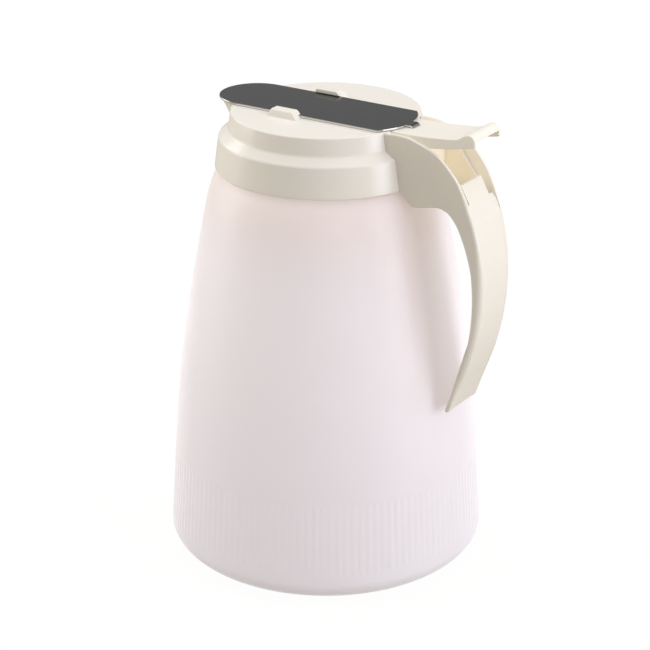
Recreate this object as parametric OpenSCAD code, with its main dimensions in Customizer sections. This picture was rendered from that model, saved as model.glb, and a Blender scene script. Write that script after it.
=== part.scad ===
// Hand-held pour server for syrup and condiments: round jar, screw top with a
// spring-returned sliding gate over the spout, thumb trigger and channel handle.
// +Z up, origin at the centre of the jar's underside, handle towards +X (rear),
// spout towards -X (front).

/* [Jar] */
// Radius of the jar just above the base curve
jar_r = 64.8; // [64.4:0.2:65.4]
// Height of the curve between the jar's side and its underside
base_h = 10.9; // [10.5:0.1:11.5]
// Width of that curve, inwards from the side
base_run = 18.4; // [17.6:0.2:18.4]
// Wall thickness of the jar
jar_wall = 2.0; // [1.8:0.1:2.2]
// Thickness of the jar's floor
floor_t = 2.6; // [2:0.2:3]
// Outer radius of the plain neck, at the root of its thread
neck_r = 38.9; // [38.7:0.1:39]
// Height of the jar's mouth above the table
mouth_z = 174.7; // [174.5:0.1:174.7]

/* [Screw thread] */
// Rise of the thread in one turn
pitch = 4.2; // [4.2:0.1:4.4]
// Crest radius of the neck's thread
neck_crest_r = 40.35; // [40.1:0.05:40.4]
// Turns of thread on the neck
neck_turns = 1.15; // [0.9:0.05:1.15]
// Turns of thread in the top
top_turns = 1.2; // [0.9:0.05:1.2]

/* [Top] */
// Height of the flat deck above the table
deck_z = 188; // [188:0.5:188.5]
// Thickness of the deck
deck_t = 2.4; // [2:0.2:2.6]
// Radius of the deck's edge
deck_r = 37.6; // [37.4:0.1:37.8]
// Radius of the bore that goes over the neck
bore_r = 41.15; // [41.1:0.05:41.2]
// Height of the bottom of the skirt
skirt_z = 165.5; // [165.4:0.1:165.6]
// Radius of the skirt at its bottom
skirt_r = 44.1; // [44:0.1:44.5]
// Radius of the collar where the skirt meets the sloping ledge
ledge_r = 42.5; // [42.4:0.1:42.6]

/* [Gate] */
// Width of the gate plate
gate_w = 30; // [29.6:0.2:30]
// Thickness of the gate plate
gate_t = 0.9; // [0.7:0.1:0.9]
// Gap between the deck and the gate plate
gate_gap = 0.05; // [0.05:0.01:0.1]

/* [Trigger] */
// Width of the trigger
trig_w = 20; // [19.6:0.2:20]
// Thickness of the trigger's walls
trig_wall = 1.4; // [1.2:0.1:1.4]
// Height of the raised lip above the table
lip_z = 191.9; // [191.5:0.1:192.5]

/* [Handle] */
// Distance from the centre plane to the outside of each cheek
cheek_y = 11.6; // [11.5:0.1:12]
// How much farther out each cheek stands where it meets the collar
flare = 1.8; // [1.5:0.1:1.8]
// Thickness of each cheek at its rim
rim_t = 1.3; // [1.1:0.1:1.3]
// Thickness of each cheek below its rim
cheek_t = 2.8; // [2.4:0.1:2.8]
// Thickness of the strap that joins the two cheeks
strap_t = 2.2; // [1.8:0.1:2.4]

/* [Spring] */
// Coils in the return spring
coils = 13; // [10:1:14]
// Radius of the spring's wire
wire_r = 0.28; // [0.22:0.02:0.28]
// Radius from the spring's centre line to the middle of its wire
coil_r = 1.8; // [1.6:0.05:1.8]
// Radius of the pin that carries the spring
pin_r = 0.8; // [0.6:0.1:0.8]

/* [Hidden] */
$fn = 96;
eps = 0.02;                         // small overlap or clearance
almond = [0.93, 0.91, 0.84];

// Heights
gate_z = deck_z + gate_gap;         // underside of the gate plate
trig_z = deck_z - 0.1;              // top of the trigger under the plate
rail_z = deck_z - 4.95;             // top of the rails the trigger runs on
groove_z = deck_z - 6.5;            // bottom of the spring groove
pin_z = deck_z - 4.2;               // axis of the spring and its pin
handle_z = 165.9;                   // underside of the handle at the collar

// Places along x
spout_x = -33;                      // axis of the spout and of the gate's round end
wall_t = 2;                         // thickness of the trigger's front wall
front_x = 17;                       // rear face of the trigger's front wall
trig_x = front_x - wall_t;          // front end of the trigger
slot_x = 13;                        // front end of the slot in the deck
stop_x = 47.5;                      // front face of the spring stop
stop_t = 2;                         // thickness of the spring stop
pin_end = stop_x + stop_t;          // rear face of the spring stop

// Widths
groove_w = 16.6;                    // spring groove
insert_w = groove_w - 0.4;          // parts that stand in line with the groove
cheek_in = cheek_y - cheek_t;       // centre plane to the inside of each cheek
channel_w = 2 * cheek_in + 2 * eps; // between the cheeks, with overlap into both

// Tab at the rear of the gate plate, bent down into the trigger
tab_w = 5.4;
tab_t = 0.9;
tab_end = 41.5;                     // rear face of the tab
tab_gap = 0.15;                     // clearance around it in the trigger

// ---- curves and placing ---------------------------------------------------
// elliptical arc about centre, with radii [x, y]
function arc(centre, radii, from, to, steps) = [for (i = [0:steps])
    let (angle = from + (to - from) * i / steps)
    [centre.x + radii.x * cos(angle), centre.y + radii.y * sin(angle)]];

// point at fraction t of the way from start to end, between their neighbours
function catmull_rom(before, start, end, after, t) = 0.5 * (2 * start
    + (end - before) * t
    + (2 * before - 5 * start + 4 * end - after) * t * t
    + (3 * start - before - 3 * end + after) * t * t * t);

// smooth curve through the points, with the given steps between neighbours
function curve(points, steps) = let (last = len(points) - 1) concat(
    [for (i = [0:last - 1]) for (j = [0:steps - 1])
        catmull_rom(points[max(i - 1, 0)], points[i], points[i + 1],
            points[min(i + 2, last)], j / steps)],
    [points[last]]);

function reversed(list) = [for (i = [len(list) - 1:-1:0]) list[i]];

// points moved sideways by distance, to the left of the direction of travel
function beside(points, distance) = [for (i = [0:len(points) - 1])
    let (run = points[min(i + 1, len(points) - 1)] - points[max(i - 1, 0)])
    points[i] + distance * [-run.y, run.x] / norm(run)];

// faces of a solid swept through steps + 1 sections of the given number of corners
function sweep_faces(steps, corners) = concat(
    [for (i = [0:steps - 1]) for (k = [0:corners - 1])
        let (a = corners * i, b = a + corners, next = (k + 1) % corners)
        each [[a + k, b + k, b + next], [a + k, b + next, a + next]]],
    [for (k = [1:corners - 2]) [0, k, k + 1]],
    [for (k = [1:corners - 2]) let (a = corners * steps) [a + k + 1, a + k, a]]);
function flipped(faces) = [for (face = faces) reversed(face)];

// profile drawn in the x-z plane, given a width across y
module across(y0, y1) {
    translate([0, y1, 0]) rotate([90, 0, 0]) linear_extrude(height = y1 - y0) children();
}

// profile drawn in the y-z plane, given a length along x
module along(x0, x1) {
    translate([x0, 0, 0]) rotate([90, 0, 90]) linear_extrude(height = x1 - x0) children();
}

// box with its front bottom edge at x, z, centred across y
module box(x, z, size) {
    translate([x, -size.y / 2, z]) cube(size);
}

// turns a z axis onto the pin's axis, starting at x
module on_pin_axis(x) {
    translate([x, 0, pin_z]) rotate([0, 90, 0]) children();
}

module both_sides() {
    children();
    mirror([0, 1, 0]) children();
}

// helical ridge of trapezoid section, fading in and out at its ends;
// it stands inwards where the crest radius is the smaller
module thread(root, crest, start_z, start_angle, turns) {
    per_turn = 30;
    fade = 3;               // steps over which each end fades
    root_half = 0.9;        // half the ridge's height at its root
    crest_half = 0.45;      // and at its crest
    steps = round(turns * per_turn);
    points = [for (i = [0:steps])
        let (rise = min(1, (i + 0.25) / fade, (steps - i + 0.25) / fade),
            angle = start_angle + 360 * i / per_turn,
            z = start_z + pitch * i / per_turn,
            tip = root + (crest - root) * rise)
        each [[root * cos(angle), root * sin(angle), z - root_half],
              [tip * cos(angle), tip * sin(angle), z - crest_half],
              [tip * cos(angle), tip * sin(angle), z + crest_half],
              [root * cos(angle), root * sin(angle), z + root_half]]];
    faces = sweep_faces(steps, 4);
    polyhedron(points = points, faces = crest > root ? flipped(faces) : faces, convexity = 6);
}

// ---- jar ------------------------------------------------------------------
// side of the jar from the top of the base curve to the shoulder: [radius, z]
jar_side = curve([
    [jar_r, base_h], [jar_r - 1.3, 31], [jar_r - 3.1, 58], [jar_r - 6.25, 89],
    [jar_r - 11.2, 120], [jar_r - 14.95, 140], [jar_r - 17.25, 152],
    [jar_r - 19.6, 160], [jar_r - 21.4, 163.8]], 4);

module jar() {
    base_centre = [jar_r - base_run, base_h];
    neck_bore_r = 36.9;
    outer = concat(
        [[0, 0], [40, 0], [40.6, 0.7], [42.4, 0.7], [43, 0]],   // ring groove underneath
        arc(base_centre, [base_run, base_h], -90, -8, 12),
        jar_side,
        [[jar_r - 21.95, 164.7], [jar_r - 22.7, 165.1], [neck_r + 0.7, 165.2],
         [neck_r, 165.9], [neck_r, mouth_z - 0.4], [neck_r - 0.4, mouth_z]]);
    inner = concat(
        [[neck_bore_r, mouth_z], [neck_bore_r, 164.2], [38.6, 163.1], [41, 162.5],
         [42.3, 161.4]],
        [for (i = [len(jar_side) - 5:-1:0]) jar_side[i] - [jar_wall, 0]],
        arc(base_centre, [base_run - jar_wall, base_h - floor_t], -8, -80, 7),
        [[base_centre.x, floor_t], [0, floor_t]]);
    color([0.93, 0.91, 0.91, 0.8]) {
        rotate_extrude() polygon(concat(outer, inner));
        thread(neck_r - 0.5, neck_crest_r, 167.9, 0, neck_turns);
    }
}

// ---- neck gasket ----------------------------------------------------------
module neck_gasket() {
    gasket_z = mouth_z + 0.05;
    color([0.85, 0.85, 0.85]) difference() {
        translate([0, 0, gasket_z]) cylinder(r = 40.9, h = 1.4);
        translate([0, 0, gasket_z - 1]) cylinder(r = 36.7, h = 4);
    }
}

// ---- top moulding ---------------------------------------------------------
// outside of the collar from the bottom of the skirt to the deck: [radius, z]
collar = concat(
    [[skirt_r - 0.4, skirt_z], [skirt_r, skirt_z + 0.5]],
    arc([ledge_r - 1.645, 176.875], [1.75, 1.75], 7, 51, 5),
    [[ledge_r - 3.1, 180.28], [ledge_r - 3.65, 180.75], [ledge_r - 3.95, 181.5]],
    arc([deck_r - 0.65, deck_z - 0.7], [0.7, 0.7], 6, 90, 5));

// the collar filled in, with its radius grown
module collar_solid(grow) {
    rotate_extrude() polygon(concat([[0, skirt_z]], [for (point = collar) point + [grow, 0]],
        [[0, deck_z]]));
}

// pour beak under the front of the gate, outside and channel: [radius, z]
beak_out = [[8, 176.5], [10.3, 180], [12.3, 184], [13.7, 187], [14.3, deck_z]];
beak_in = [[5.6, 179.4], [8.6, 182.5], [10.8, 185.3], [12.3, 187], [12.9, deck_z + 0.1]];

// flared cone about the spout's axis
module beak(outline) {
    translate([spout_x, 0, 0]) rotate_extrude() polygon(concat([[0, outline[0].y]],
        curve(outline, 3), [[0, outline[len(outline) - 1].y]]));
}

// hold-down lug over one edge of the gate
module lug() {
    x0 = -15;
    x1 = -1.5;
    near_y = gate_w / 2 + 0.25;     // just clear of the gate's edge
    intersection() {
        along(x0, x1) polygon([
            [near_y, deck_z - 0.5], [19.3, deck_z - 0.5], [19.3, deck_z],
            [18.4, gate_z + 2.2], [17.9, gate_z + 2.6], [17.3, gate_z + 2.75],
            [14.4, gate_z + 2.75], [14, gate_z + 2.5], [13.9, gate_z + 1.1],
            [near_y, gate_z + 1.1]]);
        across(10, 22) polygon([
            [x0, deck_z - 1], [x1, deck_z - 1], [x1, deck_z], [-4.2, gate_z + 2.6],
            [-4.9, gate_z + 3], [-13.4, gate_z + 3], [-14.1, gate_z + 2.6], [x0, deck_z]]);
    }
}

module top_moulding() {
    deck_under = deck_z - deck_t;
    inner_r = 36.3;         // inside of the collar above the bore
    seat_z = 176.2;         // top of the bore
    cut = 10;               // height of the cuts made down through the deck
    color(almond) difference() {
        union() {
            rotate_extrude() polygon(concat([[bore_r, skirt_z]], collar,
                [[0, deck_z], [0, deck_under], [inner_r, deck_under],
                 [inner_r, seat_z], [bore_r, seat_z]]));
            thread(bore_r + 0.45, bore_r - 1.5, 166.9, 30, top_turns);
            difference() {
                beak(beak_out);
                translate([0, 0, 170]) cylinder(r = deck_r - 0.6, h = 30);
            }
            // tray under the rear slot, which keeps the trigger's works out of the jar
            intersection() {
                box(11.2, groove_z - 1.6, [30, 24.2, deck_under - groove_z + 1.7]);
                translate([0, 0, 170]) cylinder(r = 37, h = 17);
            }
            both_sides() lug();
        }
        // spout channel and mouth
        intersection() {
            beak(beak_in);
            box(-60, 178, [31, 40, 12]);
        }
        // slot for the trigger, with rails left at its sides, and the spring's groove
        box(slot_x, rail_z, [40, trig_w + 0.6, cut]);
        box(slot_x, groove_z, [40, groove_w, cut]);
    }
}

// ---- handle ---------------------------------------------------------------
// outer edge of the grip, from the deck round the back to the tip: [x, z]
grip_out = curve([
    [34, deck_z - 0.3], [38.5, deck_z - 0.1], [42.5, deck_z - 0.15], [45.7, 187.4],
    [48.6, 186.4], [51.4, 185.4], [55.6, 183.6], [58.5, 181.7], [61.4, 179], [64.2, 175.9],
    [66.6, 172.8], [69.7, 167], [71.9, 161.6], [74.9, 153.4], [77.2, 141.8], [77.9, 131.1],
    [77.3, 119.9], [75.4, 108.6], [72.3, 97.7], [67.8, 85.9], [65, 78.4]], 3);
// inner edge, from the collar to the tip: [x, z]
grip_in_end = [62.8, 77.9];
grip_in = curve([
    [41.2, handle_z], [42.4, 165], [44.4, 163], [46.4, 160.95], [47.9, 160.2], [51.1, 160.5],
    [55.3, 161.3], [58.3, 161.6], [60.9, 161], [63.1, 159.8], [66.5, 156.2], [69.3, 150.9],
    [71.3, 145.6], [73.4, 137.3], [73.9, 126.5], [73.5, 115.3], [71.8, 105.2], [68.4, 92.9],
    [65.3, 84.4], grip_in_end], 3);
grip_tip = [[64.6, 77.3], [63.8, 76.9], [63, 77.1]];
strap_start = 34;           // index in grip_out where the strap begins

module grip_profile() {
    polygon(concat(grip_out, grip_tip, reversed(grip_in), [[34, handle_z]]));
}

module strap_profile() {
    back = [for (i = [strap_start:len(grip_out) - 1]) grip_out[i]];
    polygon(concat(back, grip_tip, [grip_in_end], reversed(beside(back, -strap_t))));
}

// everything from y = inside out to a cheek's outside face less inset;
// the face stands out more towards the collar
module cheek_plan(inside, inset) {
    x0 = 30;
    collar_x = 42;          // where the whole flare is reached
    straight_x = 70;        // where the flare has died away
    flare_y = cheek_y + flare * (straight_x - x0) / (straight_x - collar_x);
    linear_extrude(height = 200) polygon([[x0, inside], [110, inside],
        [110, cheek_y - inset], [straight_x, cheek_y - inset], [x0, flare_y - inset]]);
}

// one cheek, thinned to its rim along the top
module cheek() {
    difference() {
        intersection() {
            across(cheek_in, 16) grip_profile();
            cheek_plan(cheek_in - 1, 0);
        }
        intersection() {
            across(cheek_in - 1, 17) polygon([
                [29, rail_z], [49, rail_z], [52, 181.4], [56.4, 178], [59.9, 173.5],
                [63.3, 169.1], [66.8, 163.6], [90, 150], [90, 200], [29, 200]]);
            cheek_plan(cheek_in - 2, rim_t);
        }
    }
}

module handle() {
    stop_foot_z = 163;
    stop_head_z = 170;
    color(almond) difference() {
        union() {
            both_sides() cheek();
            // strap along the back, open at the top, with its centre tongue
            across(-cheek_in - eps, cheek_in + eps) strap_profile();
            across(-7.2, 7.2) polygon([
                [70.6, 164.6], [69.8, 166.2], [66, 170.6], [65.2, 170.8], [64.5, 170.2],
                [64.6, 169.4], [67.4, 164.9], [68.6, 162.5], [70.4, 162.5]]);
            // saddle that hugs the collar
            intersection() {
                box(30, 166, [18, channel_w, 15.3]);
                collar_solid(2);
            }
            // spring stop between the cheeks, with a narrower head
            box(stop_x, stop_foot_z, [stop_t, channel_w, rail_z - 0.25 - stop_foot_z]);
            box(stop_x, stop_head_z, [stop_t, insert_w, trig_z - 2.2 - stop_head_z]);
        }
        collar_solid(0.03);
        translate([0, 0, 150]) cylinder(r = 36.5, h = 50);
        on_pin_axis(stop_x - 1) cylinder(r = pin_r + eps, h = 5);
    }
}

// ---- spring guide pin -----------------------------------------------------
// pin with a flat head behind the spring stop
module spring_guide_pin() {
    tip_x = 13.4;
    head_r = 1.7;
    color([0.75, 0.76, 0.78]) on_pin_axis(0) rotate_extrude() polygon([
        [0, tip_x], [pin_r - 0.3, tip_x], [pin_r, tip_x + 0.4], [pin_r, pin_end + eps],
        [head_r, pin_end + eps], [head_r, pin_end + 0.6], [head_r - 0.4, pin_end + 1],
        [0, pin_end + 1.1]]);
}

// ---- gate plate -----------------------------------------------------------
module gate_plate() {
    half_w = gate_w / 2;
    rear_x = 38.4;          // rearmost point of the curved rear edge
    bow = 5.7;              // rise of that curve
    bow_r = (half_w * half_w + bow * bow) / (2 * bow);
    tab_root = 36;
    tab_z = trig_z - 2;     // bottom of the bent tab
    color([0.36, 0.35, 0.34]) {
        translate([0, 0, gate_z]) linear_extrude(height = gate_t) union() {
            translate([spout_x, 0]) circle(r = half_w);
            intersection() {
                translate([spout_x, -half_w]) square([80, gate_w]);
                translate([rear_x - bow_r, 0]) union() {
                    circle(r = bow_r);
                    translate([-60, -half_w]) square([60, gate_w]);
                }
            }
            translate([tab_root, -tab_w / 2]) square([tab_end - tab_root, tab_w]);
        }
        box(tab_end - tab_t, tab_z, [tab_t, tab_w, gate_z + gate_t - tab_z]);
    }
}

// ---- trigger --------------------------------------------------------------
// top of the trigger from under the gate to over the lip: [x, z]
trig_top = curve([
    [42, trig_z], [51, trig_z + 0.25], [58, trig_z + 0.8], [64, trig_z + 1.5],
    [66.2, trig_z + 2.5], [68, lip_z - 0.4], [69.7, lip_z], [71, lip_z - 0.3],
    [72, lip_z - 1.2], [72.5, lip_z - 2.4]], 3);

module trigger() {
    half_w = trig_w / 2;
    foot_z = rail_z + 0.15;         // underside, just clear of the rails
    under_z = trig_z - 1.8;         // underside of the top skin
    color(almond) difference() {
        union() {
            // side walls
            both_sides() across(half_w - trig_wall, half_w) polygon(concat(
                [[trig_x, foot_z], [trig_x, trig_z]], trig_top,
                [[72.6, 187.1], [60.7, 184.9], [53.8, 183.9], [49, foot_z]]));
            // top skin and lip
            across(-half_w, half_w) polygon(concat(
                [[trig_x, under_z], [trig_x, trig_z]], trig_top,
                [[70.8, lip_z - 2.4], [70.3, lip_z - 1.9], [69.2, lip_z - 1.8],
                 [68, lip_z - 2.7], [66.4, trig_z + 0.3], [64, trig_z - 0.4],
                 [58, trig_z - 1], [51, trig_z - 1.55], [42, under_z]]));
            // front wall, reaching down into the groove
            box(trig_x, groove_z + 0.25, [wall_t, insert_w, trig_z - groove_z - 1]);
            box(trig_x, foot_z, [wall_t, trig_w, trig_z - rail_z - 1]);
        }
        // slot for the gate's tab
        box(tab_end - tab_t - tab_gap, 180, [tab_t + 2 * tab_gap, tab_w + 2 * tab_gap, 20]);
        on_pin_axis(10) cylinder(r = pin_r + 0.25, h = 10);
    }
}

// ---- return spring --------------------------------------------------------
// coil between the trigger's front wall and the spring stop
module return_spring() {
    per_turn = 14;
    wire_sides = 6;
    end_gap = 0.05;
    steps = coils * per_turn;
    start_x = front_x + end_gap + wire_r;
    length = stop_x - end_gap - wire_r - start_x;
    // the first and last coils are closed up
    closed = 2 * wire_r * 1.1;
    free = (length - 2 * closed) / (coils - 2);
    function advance(turn) = turn < 1 ? closed * turn
        : turn > coils - 1 ? length - closed * (coils - turn)
        : closed + free * (turn - 1);
    points = [for (i = [0:steps])
        let (angle = 360 * i / per_turn, x = start_x + advance(i / per_turn))
        for (k = [0:wire_sides - 1])
            let (around = 360 * k / wire_sides, r = coil_r + wire_r * cos(around))
            [x + wire_r * sin(around), r * cos(angle), pin_z + r * sin(angle)]];
    color([0.7, 0.71, 0.73]) polyhedron(points = points,
        faces = flipped(sweep_faces(steps, wire_sides)), convexity = 10);
}

jar();
neck_gasket();
top_moulding();
handle();
spring_guide_pin();
gate_plate();
trigger();
return_spring();
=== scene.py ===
"""A dispenser jar: a ribbed translucent jar standing on z = 0 about the z axis, closed by a
screwed-on top moulding. The pouring spout is at -x, the grip and the thumb trigger at +x. The
trigger slides a steel gate plate over the spout's mouth, against a spring on a guide pin.
Lengths are in millimetres unless a name or comment says otherwise."""
import math
from contextlib import contextmanager

import bmesh
import bpy
import numpy as np
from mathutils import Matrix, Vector


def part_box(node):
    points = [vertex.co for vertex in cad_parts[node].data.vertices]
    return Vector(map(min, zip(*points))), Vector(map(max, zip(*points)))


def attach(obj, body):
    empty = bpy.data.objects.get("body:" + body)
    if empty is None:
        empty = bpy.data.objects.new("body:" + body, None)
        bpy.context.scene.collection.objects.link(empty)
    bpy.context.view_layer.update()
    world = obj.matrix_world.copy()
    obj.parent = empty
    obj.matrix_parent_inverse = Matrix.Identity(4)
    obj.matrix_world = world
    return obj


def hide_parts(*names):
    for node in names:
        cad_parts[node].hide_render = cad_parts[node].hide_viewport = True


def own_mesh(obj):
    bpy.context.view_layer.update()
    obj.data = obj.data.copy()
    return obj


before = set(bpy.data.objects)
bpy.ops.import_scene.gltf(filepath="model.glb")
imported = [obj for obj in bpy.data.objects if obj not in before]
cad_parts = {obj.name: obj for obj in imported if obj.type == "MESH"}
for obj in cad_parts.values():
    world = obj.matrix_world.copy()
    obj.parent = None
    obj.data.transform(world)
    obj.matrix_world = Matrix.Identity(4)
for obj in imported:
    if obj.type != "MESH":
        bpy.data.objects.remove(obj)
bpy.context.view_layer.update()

MM = 0.001
scene = bpy.context.scene


def box_mm(name):
    """The lowest and highest corners of a frame piece."""
    return [[v * 1000 for v in corner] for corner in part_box(name)]


# Sizes shared by several pieces
jar_lo, jar_hi = box_mm("jar")
MOUTH_Z = jar_hi[2]
JAR_R = min(-jar_lo[0], -jar_lo[1], jar_hi[0], jar_hi[1]) - 0.02
GATE_TOP = box_mm("gate_plate")[1][2]
GATE_T = 0.9
GATE_Z = GATE_TOP - GATE_T       # underside of the gate
GATE_HALF = 15.0                 # half the gate's width
DECK_Z = GATE_Z - 0.05           # top of the moulding, on which the gate slides
SKIRT_Z = box_mm("top_moulding")[0][2]
COLLAR_R = 43.6
BORE_R = 41.15
SPOUT_X = -33                    # centre of the spout and of the gate's rounded end
TRIG_Z = DECK_Z - 0.1            # top face of the trigger at its -x end
LIP_Z = box_mm("trigger")[1][2]
RAIL_Z = DECK_Z - 4.95           # rails that the trigger's sides run on
GROOVE_Z = DECK_Z - 6.5          # bottom of the spring's groove
GROOVE_HALF = 8.3
TONGUE_HALF = 8.1                # half width of the parts in or behind the groove
PIN_Z = DECK_Z - 4.2             # axis of the guide pin and spring
TRIG_X, SEAT_X = 15, 17          # trigger's -x end wall; the spring bears on its +x face
STOP_X, STOP_T = 47.5, 2         # wall on the handle at the spring's other end
PITCH = 4.2                      # of both screw threads


# ---------------------------------------------------------------- outlines
def clamp(t):
    return max(0.0, min(1.0, t))


def ease(t):
    """A smooth step from 0 to 1 as t goes from 0 to 1."""
    t = clamp(t)
    return t * t * (3 - 2 * t)


def arc(cx, cy, radius, start, end, steps):
    """Points along an arc, its angles in degrees."""
    angles = [math.radians(start + (end - start) * i / steps) for i in range(steps + 1)]
    return [(cx + radius * math.cos(a), cy + radius * math.sin(a)) for a in angles]


def curve(points, steps):
    """A Catmull-Rom curve through the points, with this many steps between neighbours."""
    points = [np.array(p, float) for p in points]
    last = len(points) - 1
    out = []
    for i in range(last):
        before, start, end, after = (points[max(i - 1, 0)], points[i], points[i + 1],
                                     points[min(i + 2, last)])
        for j in range(steps):
            t = j / steps
            out.append(0.5 * (2 * start + (end - before) * t
                              + (2 * before - 5 * start + 4 * end - after) * t * t
                              + (3 * start - before - 3 * end + after) * t ** 3))
    out.append(points[-1])
    return [tuple(map(float, p)) for p in out]


def offset(points, distance):
    """The points of an open curve moved to the left of the direction of travel."""
    points = [np.array(p, float) for p in points]
    out = []
    for i, p in enumerate(points):
        along = points[min(i + 1, len(points) - 1)] - points[max(i - 1, 0)]
        along /= np.linalg.norm(along)
        out.append(tuple(p + distance * np.array([-along[1], along[0]])))
    return out


# ---------------------------------------------------------------- mesh tools
@contextmanager
def edit(ob):
    """The object's mesh as a bmesh, written back afterwards."""
    bm = bmesh.new()
    bm.from_mesh(ob.data)
    yield bm
    bm.to_mesh(ob.data)
    bm.free()
    ob.data.update()


def make(name, verts, faces):
    """A mesh object from points in millimetres."""
    mesh = bpy.data.meshes.new(name)
    mesh.from_pydata([(x * MM, y * MM, z * MM) for x, y, z in verts], [], faces)
    mesh.update()
    ob = bpy.data.objects.new(name, mesh)
    scene.collection.objects.link(ob)
    return ob


def fix_normals(ob):
    with edit(ob) as bm:
        bmesh.ops.remove_doubles(bm, verts=bm.verts, dist=1e-7)
        bmesh.ops.recalc_face_normals(bm, faces=bm.faces)
    return ob


def revolve(name, profile, segments, centre_x=0.0, wobble=None):
    """A closed profile of (r, z) turned about a vertical axis.
    wobble(r, z, segment, row) gives a new r."""
    verts, faces, rows = [], [], []
    for i, (r, z) in enumerate(profile):
        if r < 1e-6:
            rows.append([len(verts)] * segments)
            verts.append((centre_x, 0.0, z))
            continue
        rows.append(list(range(len(verts), len(verts) + segments)))
        for k in range(segments):
            angle = 2 * math.pi * k / segments
            radius = wobble(r, z, k, i) if wobble else r
            verts.append((centre_x + radius * math.cos(angle), radius * math.sin(angle), z))
    for i, row in enumerate(rows):
        above = rows[(i + 1) % len(rows)]
        if row[0] == row[-1] and above[0] == above[-1]:
            continue
        for k in range(segments):
            l = (k + 1) % segments
            # on the axis, two corners are the same point
            face = list(dict.fromkeys([row[k], row[l], above[l], above[k]]))
            faces.append(face)
    return fix_normals(make(name, verts, faces))


def prism(name, axis, outline, start, end):
    """An outline in the plane across the axis, its columns in x, y, z order, extended along
    the axis from start to end."""
    at = "xyz".index(axis)
    n = len(outline)
    verts = [(*p[:at], depth, *p[at:]) for depth in (start, end) for p in outline]
    faces = [list(range(n)), list(range(2 * n - 1, n - 1, -1))]
    faces += [[i, (i + 1) % n, n + (i + 1) % n, n + i] for i in range(n)]
    return fix_normals(make(name, verts, faces))


def block(name, lo, hi):
    outline = [(lo[0], lo[2]), (hi[0], lo[2]), (hi[0], hi[2]), (lo[0], hi[2])]
    return prism(name, "y", outline, lo[1], hi[1])


def sweep(name, rings):
    """Rings of points joined one to the next, with both ends closed."""
    m, n = len(rings[0]), len(rings) - 1
    faces = []
    for i in range(n):
        for k in range(m):
            l = (k + 1) % m
            faces.append([m * i + k, m * i + m + k, m * i + m + l, m * i + l])
    faces += [list(range(m)), list(range(m * n + m - 1, m * n - 1, -1))]
    return fix_normals(make(name, [p for ring in rings for p in ring], faces))


def thread(name, root, crest, start_z, start_angle, turns):
    """A screw thread between the radii root and crest, fading out at its ends."""
    per_turn, fade = 72, 8
    half_root, half_crest = 0.9, 0.42
    n = round(turns * per_turn)
    rings = []
    for i in range(n + 1):
        grow = min(1, (i + 0.2) / fade, (n - i + 0.2) / fade)
        angle = math.radians(start_angle + 360 * i / per_turn)
        z = start_z + PITCH * i / per_turn
        top = root + (crest - root) * math.sin(grow * math.pi / 2)
        flank = root + (top - root) * 0.9
        section = [(root, z - half_root), (flank, z - half_crest - 0.08),
                   (top, z - half_crest + 0.12), (top, z + half_crest - 0.12),
                   (flank, z + half_crest + 0.08), (root, z + half_root)]
        rings.append([(r * math.cos(angle), r * math.sin(angle), h) for r, h in section])
    return sweep(name, rings)


def lay_on_pin_axis(ob, start_x=0):
    """Turns a piece made about the z axis on to the guide pin's axis, its z becoming x."""
    for v in ob.data.vertices:
        x, y, z = v.co
        v.co = (z + start_x * MM, y, x + PIN_Z * MM)
    return fix_normals(ob)


def bevel(ob, width, segments, angle, keep=None):
    """Rounds the edges sharper than angle. keep(p, q) picks edges by their end points."""
    with edit(ob) as bm:
        bm.normal_update()
        edges = [e for e in bm.edges
                 if len(e.link_faces) == 2 and e.calc_face_angle(0) > math.radians(angle)
                 and (keep is None or keep(e.verts[0].co * 1000, e.verts[1].co * 1000))]
        bmesh.ops.bevel(bm, geom=edges, offset=width * MM, segments=segments, profile=0.5,
                        affect="EDGES", clamp_overlap=False, loop_slide=True)
        bmesh.ops.remove_doubles(bm, verts=bm.verts, dist=2e-6)
        bmesh.ops.recalc_face_normals(bm, faces=bm.faces)
    return ob


def apply_modifiers(ob):
    bpy.context.view_layer.update()
    graph = bpy.context.evaluated_depsgraph_get()
    mesh = bpy.data.meshes.new_from_object(ob.evaluated_get(graph))
    ob.modifiers.clear()
    old = ob.data
    ob.data = mesh
    bpy.data.meshes.remove(old)


def boolean(ob, others, how):
    """ob changed by a boolean with each of the others, which are then removed."""
    for other in others:
        mod = ob.modifiers.new("b", "BOOLEAN")
        mod.operation, mod.object, mod.solver = how, other, "EXACT"
        apply_modifiers(ob)
        bpy.data.objects.remove(other)
    return ob


def add(ob, *others):
    return boolean(ob, others, "UNION")


def cut(ob, *others):
    return boolean(ob, others, "DIFFERENCE")


def common(ob, other):
    return boolean(ob, [other], "INTERSECT")


def join(ob, other):
    """The shell of the other put into ob's mesh as it is."""
    with edit(ob) as bm:
        bm.from_mesh(other.data)
        bpy.data.objects.remove(other)


def both(build):
    """The piece build() makes, and its mirror image across y."""
    piece_a, piece_b = build(), build()
    for v in piece_b.data.vertices:
        v.co.y = -v.co.y
    piece_b.data.flip_normals()
    return piece_a, piece_b


def shade(ob, angle):
    ob.data.shade_smooth()
    ob.data.set_sharp_from_angle(angle=math.radians(angle))


def finish_mesh(ob, angle, weighted=True):
    with edit(ob) as bm:
        bmesh.ops.remove_doubles(bm, verts=bm.verts, dist=1e-6)
        bmesh.ops.dissolve_degenerate(bm, dist=1e-6, edges=bm.edges)
        loose = [v for v in bm.verts if not v.link_faces]
        bmesh.ops.delete(bm, geom=loose, context="VERTS")
    shade(ob, angle)
    if weighted:
        mod = ob.modifiers.new("normals", "WEIGHTED_NORMAL")
        mod.keep_sharp = True
        mod.weight = 80


def hand_over(ob, mat, body, node):
    """Gives the piece its material and its place in the frame."""
    ob.data.materials.clear()
    ob.data.materials.append(mat)
    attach(ob, body)
    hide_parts(node)


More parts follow.
